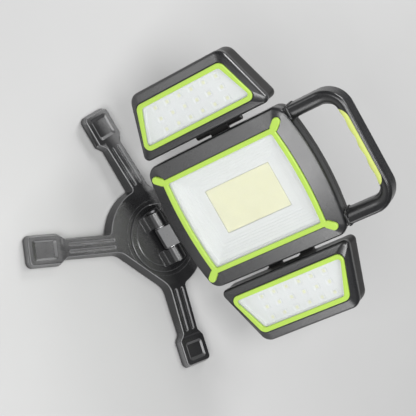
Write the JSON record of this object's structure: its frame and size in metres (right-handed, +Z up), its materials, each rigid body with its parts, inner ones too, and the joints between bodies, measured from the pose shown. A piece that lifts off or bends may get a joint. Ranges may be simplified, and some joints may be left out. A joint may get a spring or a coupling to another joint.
{
  "type": "work light",
  "caption": "Rechargeable work light: a centre lamp with two folding side lamps, carry handle, tilting bracket and a swivelling Y-shaped foot with magnetic toes.",
  "frame": {"origin": "on the floor plane, under the swivel axis of the foot", "axes": "+Z up along the swivel axis, lamp faces -Y, +X along the tilt bolt"},
  "size_m": [0.2896, 0.2648, 0.2525],
  "materials": {
    "casing_plastic": "satin, fine moulded grain",
    "frame_plastic": "satin",
    "trim_lime": "semi-gloss",
    "grip_soft": "matte soft-touch",
    "white_plastic": "semi-gloss",
    "clear_lens": "clear polished",
    "phosphor": "matte",
    "aluminium": "satin",
    "circuit_board": "satin",
    "cell_wrap": "glossy wrap",
    "steel": "brushed",
    "dark_steel": "blackened",
    "rubber": "matte",
    "magnet": "nickel plated"
  },
  "bodies": {
    "foot": {"foot_frame": "frame_plastic", "left_magnet": "magnet", "front_magnet": "magnet", "right_magnet": "magnet", "left_toe_pad": "rubber", "front_toe_pad": "rubber", "right_toe_pad": "rubber", "swivel_washer": "white_plastic", "hub_cap": "rubber"},
    "turntable": {"turntable": "casing_plastic", "swivel_retainer": "steel", "swivel_screw": "dark_steel", "tilt_bolt": "dark_steel", "tilt_nut": "steel", "left_friction_washer": "steel", "right_friction_washer": "steel"},
    "button": {"power_button": "rubber"},
    "cover": {"port_cover": "rubber"},
    "left_wing": {"left_wing_bezel": "casing_plastic", "left_wing_led_board": "white_plastic", "left_wing_lens": "clear_lens", "left_wing_rear_shell": "casing_plastic", "left_wing_screw_1": "dark_steel", "left_wing_screw_2": "dark_steel", "left_wing_trim": "trim_lime"},
    "right_wing": {"right_wing_bezel": "casing_plastic", "right_wing_led_board": "white_plastic", "right_wing_lens": "clear_lens", "right_wing_rear_shell": "casing_plastic", "right_wing_screw_1": "dark_steel", "right_wing_screw_2": "dark_steel", "right_wing_trim": "trim_lime"},
    "lamp": {"arm_screw_1": "dark_steel", "arm_screw_2": "dark_steel", "battery_pack": "cell_wrap", "casing_screw_1": "dark_steel", "casing_screw_2": "dark_steel", "casing_screw_3": "dark_steel", "casing_screw_4": "dark_steel", "charge_port": "steel", "cob_board": "aluminium", "cob_emitter": "phosphor", "driver_board": "circuit_board", "handle": "frame_plastic", "handle_grip": "grip_soft", "handle_pin_1": "dark_steel", "handle_pin_2": "dark_steel", "heat_sink": "aluminium", "indicator_lens": "clear_lens", "left_hinge_pin": "steel", "main_front_bezel": "casing_plastic", "main_lens": "clear_lens", "main_rear_shell": "casing_plastic", "main_reflector": "white_plastic", "main_trim": "trim_lime", "right_hinge_pin": "steel", "tact_switch": "dark_steel", "tilt_arm": "frame_plastic"}
  },
  "joints": [
    {"name": "swivel", "type": "hinge", "parent": "foot", "child": "turntable", "pos_m": [0, 0, 0], "axis": [0, 0, 1], "continuous": true},
    {"name": "tilt", "type": "hinge", "parent": "turntable", "child": "lamp", "pos_m": [0, 0, 0.027], "axis": [1, 0, 0], "range_deg": [-24, 80], "stiffness_Nm_per_rad": 2, "springref_deg": 11.1},
    {"name": "left_wing_fold", "type": "hinge", "parent": "lamp", "child": "left_wing", "pos_m": [-0.074, 0.0649, 0.11217], "axis": [0, -0.4384, -0.8988], "range_deg": [-11, 176], "stiffness_Nm_per_rad": 0.3, "springref_deg": -2.95},
    {"name": "right_wing_fold", "type": "hinge", "parent": "lamp", "child": "right_wing", "pos_m": [0.074, 0.0649, 0.11217], "axis": [0, 0.4384, 0.8988], "range_deg": [-7, 180], "stiffness_Nm_per_rad": 0.3, "springref_deg": -2.82},
    {"name": "power_press", "type": "slide", "parent": "lamp", "child": "button", "axis": [0, -0.8988, 0.4384], "range_m": [0, 0.0008], "stiffness_N_per_m": 600, "springref_m": -0.0006},
    {"name": "cover_flap", "type": "hinge", "parent": "lamp", "child": "cover", "pos_m": [-0.042, 0.02191, 0.03679], "axis": [1, 0, 0], "range_deg": [0, 110], "stiffness_Nm_per_rad": 0.02}
  ]
}
